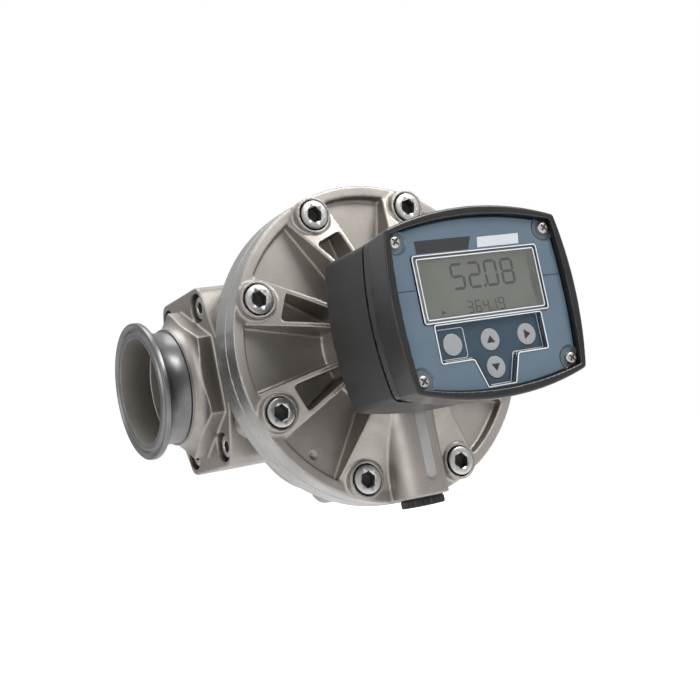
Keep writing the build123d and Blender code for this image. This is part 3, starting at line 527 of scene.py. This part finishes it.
def plug_way(bm):
    add_turned(bm, [(0, CONDUIT_END_Z - 8), (PLUG_WAY_R, CONDUIT_END_Z - 8), (PLUG_WAY_R, PLUG_WAY_END_Z),
                    (0, PLUG_WAY_END_Z)], round_conduit, 48)


def rim_slots(obj, y_front, y_back):
    """Gives the turned side of the rim the second material slot."""
    for face in obj.data.polygons:
        where = face.center / MM
        radius = math.hypot(where.x - MID_X, where.z)
        if radius > RIM_R - 0.25 and y_front < where.y < y_back:
            face.material_index = 1


cover = solid("cover_casting", cover_blank)
combine(cover, "DIFFERENCE", "pockets", cover_pockets)
combine(cover, "UNION", "bosses", cover_bosses)
combine(cover, "UNION", "conduit", conduit_boss)
combine(cover, "DIFFERENCE", "cuts", cover_cuts)
combine(cover, "DIFFERENCE", "plug_way", plug_way)
cast_surface(cover, voxel=0.7, rounds=3, keep=0.42)
finish_piece(cover, CAST, RIM, nodes=("meter_cover",))
rim_slots(cover, COVER_Y + 0.3, JOINT_Y)


def land_face(bm):
    add_prism(bm, land_outline(LAND_HALF - 0.35, -TURRET_R - 0.4), LAND_Y + 0.4, LAND_Y - 0.04)


finish_piece(solid("conduit_land", land_face), BRIGHT)


# Body casting with its round flange
def lobe_cut(bm):
    """Ring round the rim that takes off what stands out past it."""
    add_band(bm, circle(0, 0, RIM_R, 160), circle(0, 0, 100.0, 160), FLANGE_BACK_Y + 0.01, JOINT_Y - 4)


def front_cut(bm):
    add_prism(bm, circle(0, 0, 99.0, 64), JOINT_Y, JOINT_Y - 6)


body = copy_of("meter_body", "body_casting")
combine(body, "DIFFERENCE", "lobes", lobe_cut)
combine(body, "DIFFERENCE", "front", front_cut)
cast_surface(body, voxel=0.8, rounds=3, keep=0.35)
finish_piece(body, CAST, RIM, nodes=("meter_body",))
rim_slots(body, JOINT_Y, FLANGE_BACK_Y - 0.3)


# Port adapters: soft castings with a crisp turned collar and ferrule
FERRULE_PROFILE = [
    (COLLAR_R - 3, COLLAR_START), (COLLAR_R, COLLAR_START), (COLLAR_R, COLLAR_END - 0.5),
    (COLLAR_R - 0.15, COLLAR_END - 0.15), (COLLAR_R - 0.5, COLLAR_END), (32.4, COLLAR_END + 0.05),
    (31.95, COLLAR_END + 0.25), (31.75, COLLAR_END + 0.7), (31.75, 110.4), (32.1, 110.85), (37.9, 112.75),
    (38.35, 113.0), (38.6, 113.35), (38.72, 113.8), (38.72, 115.5), (38.62, 115.95), (38.35, 116.25),
    (37.9, PORT_END), (37.5, PORT_END), (37.2, 116.25), (36.6, 115.35), (36.0, 114.95), (35.3, 114.8),
    (34.6, 114.95), (34.0, 115.35), (33.4, 116.25), (33.1, PORT_END), (30.7, PORT_END), (30.35, 116.3),
    (PORT_BORE, 116.0), (PORT_BORE, COLLAR_END - 0.5), (COLLAR_R - 3, COLLAR_END - 0.8),
    (COLLAR_R - 3, COLLAR_START)]
# The bore step of the ferrule's profile takes the second slot, the painted light of the bores
BORE_STEP = len(FERRULE_PROFILE) - 4


def ferrule(outward):
    def frame_at(radius, angle, along):
        return at(outward * along, radius * math.cos(angle), radius * math.sin(angle))

    return lambda bm: add_turned(bm, FERRULE_PROFILE, frame_at, 144, (BORE_STEP,))


def port_end(outward):
    start, end, half = outward * (COLLAR_END - 0.3), outward * (PORT_END + 5), 45.0
    return lambda bm: add_prism(bm, [(start, -half), (start, half), (end, half), (end, -half)], half, -half)


for side, outward in (("inlet", -1), ("outlet", 1)):
    adapter = copy_of(side + "_adapter", side + "_adapter_casting")
    combine(adapter, "DIFFERENCE", "port_end", port_end(outward))
    cast_surface(adapter, voxel=0.6, rounds=3, keep=0.5)
    finish_piece(adapter, CAST_PORT, BORE_PAINTED_LIGHT, nodes=(side + "_adapter",))
    # Faces inside the bore take the second slot, the painted light of the bores
    for face in adapter.data.polygons:
        where = face.center / MM
        if math.hypot(where.y, where.z) < PORT_BORE + 0.6 and face.normal.x ** 2 < 0.5:
            face.material_index = 1
    turned_end = solid(side + "_ferrule", ferrule(outward))
    turned_end.data.shade_smooth()
    turned_end.data.set_sharp_from_angle(angle=math.radians(38.0))
    finish_piece(turned_end, FERRULE, BORE_PAINTED_LIGHT)


# Socket screws: knurled head with rounded edge, hex socket with a conical bottom
def socket_screws(name, node, seats, out, head_r, head_h, hex_size, shank_r, shank_length):
    """Screws on the places of their seats; out is the unit vector that points out of the head."""
    count = 72
    depth = head_h * 0.55
    out = Vector(out)
    side_a = out.orthogonal().normalized()
    side_b = out.cross(side_a)

    def plain_r(radius):
        return lambda i, angle: radius

    def knurl(i, angle):
        return head_r - (0.16 if i % 2 else 0.0)

    def hex_r(i, angle):
        part = (angle + math.pi / 6) % (math.pi / 3) - math.pi / 6
        return hex_size / 2 / math.cos(part)

    rows = [(plain_r(shank_r), -shank_length), (plain_r(shank_r), 0.0), (plain_r(head_r - 0.4), 0.0),
            (knurl, 0.3), (knurl, head_h - 1.5), (plain_r(head_r - 0.08), head_h - 1.3),
            (plain_r(head_r - 0.08), head_h - 0.75), (plain_r(head_r - 0.3), head_h - 0.25),
            (plain_r(head_r - 0.8), head_h), (plain_r(hex_size * 0.6), head_h),
            (hex_r, head_h - 0.45), (hex_r, head_h - depth)]
    socket_row = 10
    bm = bmesh.new()
    for seat in seats:
        seat = Vector((MID_X, 0, 0)) + Vector(seat)
        made = []
        for radius_of, height in rows:
            row = []
            for i in range(count):
                angle = 2 * math.pi * i / count
                across = side_a * math.cos(angle) + side_b * math.sin(angle)
                spot = across * radius_of(i, angle) + out * height
                row.append(bm.verts.new((seat + spot) * MM))
            made.append(row)
        for k in range(len(made) - 1):
            for i in range(count):
                j = (i + 1) % count
                face = bm.faces.new((made[k][i], made[k][j], made[k + 1][j], made[k + 1][i]))
                # Rows from the socket down take the painted shade
                face.material_index = 1 if k >= socket_row else 0
        low = bm.verts.new((seat + out * (head_h - depth - 1.2)) * MM)
        end = bm.verts.new((seat - out * shank_length) * MM)
        for i in range(count):
            j = (i + 1) % count
            bm.faces.new((made[-1][i], made[-1][j], low)).material_index = 1
            bm.faces.new((made[0][j], made[0][i], end))
    finish_piece(piece(name, mesh_from(bm, name, 30.0)), SCREW, SOCKET, nodes=(node,))


socket_screws("cover_bolts_cut", "cover_bolts", [(x, BOLT_SEAT_Y, z) for x, z in BOLT_PLACES], (0, -1, 0),
              head_r=8.0, head_h=10.0, hex_size=8.0, shank_r=5.0, shank_length=25.0)
for side, outward in (("inlet", -1), ("outlet", 1)):
    seats = [(outward * PORT_SCREW_SEAT, y, z) for y in (-PORT_SCREW_Y, PORT_SCREW_Y)
             for z in (-PORT_SCREW_Z, PORT_SCREW_Z)]
    socket_screws(side + "_screws_cut", side + "_adapter_screws", seats, (outward, 0, 0),
                  head_r=6.5, head_h=8.0, hex_size=6.0, shank_r=4.0, shank_length=28.0)


# Ribbed blanking plug
def plug(bm):
    def frame_at(radius, angle, along):
        step = round(angle / (2 * math.pi / 96)) % 4
        groove = 0.7 if step in (0, 1) and radius > 11.4 else 0.0
        return round_conduit(radius - groove, angle, along)

    add_turned(bm, [(0, -76.8), (9.9, -76.8), (9.9, -88.9), (11.6, -88.9), (12.0, -89.2), (12.0, -92.2),
                    (11.5, -92.8), (8.5, -92.95), (8.2, -92.5), (0, -92.5)], frame_at, 96)


finish_piece(solid("ribbed_plug", plug), PLUG, nodes=("conduit_plug",))


# Display housing with soft moulded edges
for node, material, keep in (("display_base", HOUSING, 0.30), ("display_bezel", BEZEL, 0.40)):
    housing = copy_of(node, node + "_finished")
    cast_surface(housing, voxel=0.5, rounds=2, keep=keep)
    finish_piece(housing, material, nodes=(node,))


# Painted shade round the housing: near-black bands at the seams stand in for the shade in the grooves
def bowed(half_x, half_z, bow_x, bow_z, corner):
    """Four bowed sides with rounded corners, as the housing's outline."""
    sides = []
    for axis, half, other, bow in ((0, half_x, half_z, bow_x), (1, half_z, half_x, bow_z)):
        radius = (other ** 2 + bow ** 2) / (2 * bow)
        span = other - corner
        side = []
        for k in range(25):
            across = -span + 2 * span * k / 24
            out = half + bow - radius + math.sqrt(radius ** 2 - across ** 2)
            side.append((out, across) if axis == 0 else (-across, out))
        sides.append(side)
    right, top = sides
    loops = [right, top, [(-x, -z) for x, z in right], [(-x, -z) for x, z in top]]
    corners = [(half_x, half_z), (-half_x, half_z), (-half_x, -half_z), (half_x, -half_z)]
    points = []
    for side, turn, after in zip(loops, corners, loops[1:] + loops[:1]):
        points += side
        start, end = Vector(side[-1]), Vector(after[0])
        for k in range(1, 6):
            share = k / 6
            points.append(tuple(start.lerp(Vector(turn), share).lerp(Vector(turn).lerp(end, share), share)))
    return points


def seam_shade_band(name, half_x, half_z, bow_x, bow_z, corner, y_back, y_front, proud):
    bm = bmesh.new()
    outer, inner = [bowed(half_x + more, half_z + more, bow_x, bow_z, corner) for more in (proud, -0.8)]
    add_band(bm, outer, inner, y_back, y_front)
    finish_piece(piece(name, mesh_from(bm, name)), SEAM_SHADE)


# The bands paint the shade at the base's seam and at the foot of the bezel's step
seam_shade_band("base_shadow_gap", 47.0, 39.0, 4.5, 5.0, 3.4, y_back=-153.0, y_front=-154.1, proud=0.03)
seam_shade_band("bezel_shadow_gap", 47.4, 38.0, 4.2, 8.0, 2.4, y_back=-159.7, y_front=-160.6, proud=0.05)


# Prints on the face, and raised lines whose pale colour is a painted highlight on the clear moulding's edges
def films(name, outlines, y, material, body=BODY):
    """Thin plates on the face at y."""
    bm = bmesh.new()
    for points in outlines:
        add_prism(bm, points, y + 0.01, y - FILM)
    finish_piece(piece(name, mesh_from(bm, name)), material, body=body)


def lines(name, outlines, y, width, height):
    """Closed raised lines along the outlines, inside them; their pale colour paints the highlight on the
    clear moulding's edges.
    """
    bm = bmesh.new()
    for points in outlines:
        inner = []
        count = len(points)
        turn = sum(points[i - 1][0] * points[i][1] - points[i][0] * points[i - 1][1] for i in range(count))
        hand = 1.0 if turn > 0 else -1.0
        for i in range(count):
            before = (Vector(points[i]) - Vector(points[i - 1])).normalized()
            after = (Vector(points[(i + 1) % count]) - Vector(points[i])).normalized()
            if before.length < 0.5 or after.length < 0.5:
                before = after = before if before.length > 0.5 else after
            across = Vector((-(before + after).y, (before + after).x)).normalized() * hand
            inner.append(tuple(Vector(points[i]) + across * width))
        add_band(bm, points, inner, y, y - height)
    finish_piece(piece(name, mesh_from(bm, name)), LINE_HIGHLIGHT)


def field(inset):
    """T-shaped outline of the key field."""
    return [(-32.3 + inset, -7.9), (-32.3 + inset, -27.2 + inset), (-13.5 + inset, -27.2 + inset),
            (-8.5 + inset, -41.5 + inset), (8.5 - inset, -41.5 + inset), (13.5 - inset, -27.2 + inset),
            (32.3 - inset, -27.2 + inset), (32.3 - inset, -7.9)]


films("face_banner", [[(-33.5, 26.9), (-3.2, 26.9), (-0.4, 33.2), (-33.5, 33.2)]], PANEL_Y, INK)
films("face_tag", [[(2.4, 27.2), (27.6, 27.2), (28.6, 32.4), (3.4, 32.4)]], PANEL_Y, PALE_INK)
POST_PLACES = [(x, z) for x in (-POST_X, POST_X) for z in (-POST_Z, POST_Z)]
films("screw_posts", [circle(x, z, POST_R) for x, z in POST_PLACES], POST_Y, POST)
# Dark crosses painted as the shade in the display screws' cross recesses
films("screw_cross_shadows", [rotated_about(box(x - 2.1, z - 0.4, x + 2.1, z + 0.4), x, z, angle)
                              for x, z in POST_PLACES for angle in (45, 135)], SCREW_CROSS_Y, SOCKET)
# Painted shade: dark ink-coloured strips stand in for the shade in the face's two grooves
films("face_groove_shade", [box(-51.0, 9.3, -38.2, 9.75), box(38.2, 9.3, 51.0, 9.75)], PANEL_Y, INK)
lines("window_lines", [rounded(box(-37.3, -7.5, 37.3, 26.1), 1.6),
                       rounded(box(-35.3, -5.9, 35.3, 24.4), 1.2)], LENS_Y, width=0.55, height=LINE_HEIGHT)
lines("key_field_lines", [rounded(field(0.0), 1.3)], PANEL_Y - 0.3, width=0.60, height=LINE_HEIGHT)
lines("key_field_inner_lines", [rounded(field(1.2), 1.0)], FIELD_Y, width=0.35, height=FILM)
lines("enter_line", [rounded(box(-30.6, -25.2, -14.4, -10.2), 1.6)], FIELD_Y, width=0.28, height=FILM)

SEGMENTS = {"0": "abcdef", "1": "bc", "2": "abged", "3": "abgcd", "4": "fgbc", "5": "afgcd", "6": "afgedc",
            "7": "abc", "8": "abcdefg", "9": "abcdfg"}


def bar(x, z, length, upright, width):
    """One segment of a digit, pointed at both ends."""
    half, tip = length / 2 - width * 0.12, width / 2
    points = [(-half, 0), (-half + tip, tip), (half - tip, tip), (half, 0), (half - tip, -tip),
              (-half + tip, -tip)]
    return [(x + b, z + a) if upright else (x + a, z + b) for a, b in points]


def digit(shown, x, z, wide, high, width):
    spots = {"a": (x + wide / 2, z + high, wide, False), "g": (x + wide / 2, z + high / 2, wide, False),
             "d": (x + wide / 2, z, wide, False), "b": (x + wide, z + high * 0.75, high / 2, True),
             "c": (x + wide, z + high * 0.25, high / 2, True), "e": (x, z + high * 0.25, high / 2, True),
             "f": (x, z + high * 0.75, high / 2, True)}
    return [bar(*spots[segment], width) for segment in SEGMENTS[shown]]


def numerals(text, x, z, wide, high, width, pitch):
    bars = []
    for shown in text:
        if shown == ".":
            last_end = x - pitch + wide
            bars.append(box(last_end + width * 0.8, z - width / 2, last_end + width * 1.9, z + width * 0.6))
        else:
            bars += digit(shown, x, z, wide, high, width)
            x += pitch
    return bars


large_digits = numerals("52.08", x=-15.0, z=8.2, wide=6.6, high=12.0, width=1.35, pitch=10.0)
small_digits = numerals("364.19", x=-9.5, z=-4.2, wide=2.9, high=5.6, width=0.62, pitch=4.7)
films("lcd_large_digits", large_digits, LCD_Y, SEGMENT)
films("lcd_small_digits", small_digits, LCD_Y, SEGMENT)
films("lcd_pointer", [[(-25.0, -3.6), (-22.6, -2.4), (-25.0, -1.2)]], LCD_Y, SEGMENT)
films("lcd_end_band", [box(31.6, -6.4, 33.8, 24.6)], LCD_Y, FAINT)

for key, x, z, arrow in (("up_key", 0.0, -18.2, [(0.0, 2.0), (-2.5, -1.7), (2.5, -1.7)]),
                         ("right_key", 22.3, -18.2, [(2.2, 0.0), (-1.6, 2.5), (-1.6, -2.5)]),
                         ("down_key", 0.0, -32.0, [(0.0, -2.0), (2.5, 1.7), (-2.5, 1.7)])):
    films(key + "_mark", [[(x + a, z + b) for a, b in arrow]], KEY_Y, INK, key)

# Nodes that keep their meshes
FINISHES = (
    (SCREW, ("display_screws", "upper_rotor_shaft", "lower_rotor_shaft", "rotor_magnets", "key_domes",
             "pulse_board_screws", "board_screws", "display_base_screws")),
    (RUBBER, ("cover_seal", "inlet_adapter_seal", "outlet_adapter_seal", "turret_gasket", "bezel_gasket",
              "plug_seal", "upper_rotor_bushes", "lower_rotor_bushes")),
    (KEY_FACE, ("enter_key", "up_key", "right_key", "down_key")),
    (BOARD, ("pulse_board", "display_board", "terminal_block", "battery")),
    (BRIGHT, ("upper_rotor", "lower_rotor")),
    (PANEL, ("face_panel",)), (LENS, ("window_lens",)), (KEY_FIELD, ("key_plate",)), (LCD, ("lcd_module",)),
    (INK, ("pulse_sensors",)), (PLUG, ("battery_holder",)))
for material, nodes in FINISHES:
    for node in nodes:
        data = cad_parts[node].data
        data.materials.clear()
        data.materials.append(material)

# Studio: pale floor, soft lights and the camera
floor_mesh = bpy.data.meshes.new("floor")
floor_mesh.from_pydata([(x, y, FLOOR_Z) for x, y in ((-40, -40), (40, -40), (40, 40), (-40, 40))], [],
                       [(0, 1, 2, 3)])
floor = piece("floor", floor_mesh)
floor_material, floor_tree, floor_shader = new_material("floor_paper")
set_shader(floor_tree, floor_shader, colour=(0.94, 0.94, 0.94), rough=0.9, spec=0.2)
seen = add(floor_tree, "ShaderNodeLightPath").outputs["Is Camera Ray"]
floor_shader.inputs["Emission Color"].default_value = (1.0, 1.0, 1.0, 1.0)
floor_tree.links.new(seen, floor_shader.inputs["Emission Strength"])
floor.data.materials.append(floor_material)

world = bpy.data.worlds.new("studio")
bpy.context.scene.world = world
world.use_nodes = True
sky = world.node_tree
background = sky.nodes["Background"]
heading = add(sky, "ShaderNodeTexCoord").outputs["Generated"]
height = add(sky, "ShaderNodeSeparateXYZ", {0: heading}).outputs["Z"]
gradient = {"Value": height, "From Min": -0.7, "From Max": 0.8, "To Min": 0.10, "To Max": 0.82}
shade = add(sky, "ShaderNodeMapRange", gradient).outputs["Result"]
direct = add(sky, "ShaderNodeLightPath").outputs["Is Camera Ray"]
background.inputs["Color"].default_value = (1.0, 1.0, 1.0, 1.0)
sky.links.new(maths(sky, "MAXIMUM", shade, direct), background.inputs["Strength"])


def area_light(name, spot, size, power):
    """Light in metres and watts that shines on the middle of the cover."""
    data = bpy.data.lights.new(name, "AREA")
    data.shape = "RECTANGLE"
    data.size, data.size_y = size
    data.energy = power
    lamp = piece(name, data)
    lamp.location = spot
    aim = Vector((MID_X * MM, -0.08, 0.0))
    lamp.rotation_euler = (aim - Vector(spot)).to_track_quat("-Z", "Y").to_euler()
    lamp.visible_camera = False


area_light("key", (0.75, -1.05, 0.95), (0.7, 0.7), 14.0)
area_light("fill", (-1.2, -0.6, 0.35), (0.8, 1.0), 5.0)
area_light("top", (0.0, 0.2, 1.3), (1.2, 0.8), 9.0)

camera_data = bpy.data.cameras.new("camera")
camera_data.sensor_width = 36.0
camera_data.lens = 66.05
camera = piece("camera", camera_data)
to_right = Vector((0.85963, -0.47104, -0.19788))
upward = Vector((0.12399, -0.18340, 0.97519))
ahead = Vector((0.49564, 0.86284, 0.09925))
pose = Matrix((to_right, upward, -ahead)).transposed().to_4x4()
pose.translation = Vector((-0.25251, -0.68128, -0.07182))
camera.matrix_world = pose
bpy.context.scene.camera = camera
bpy.context.scene.view_settings.view_transform = "Standard"
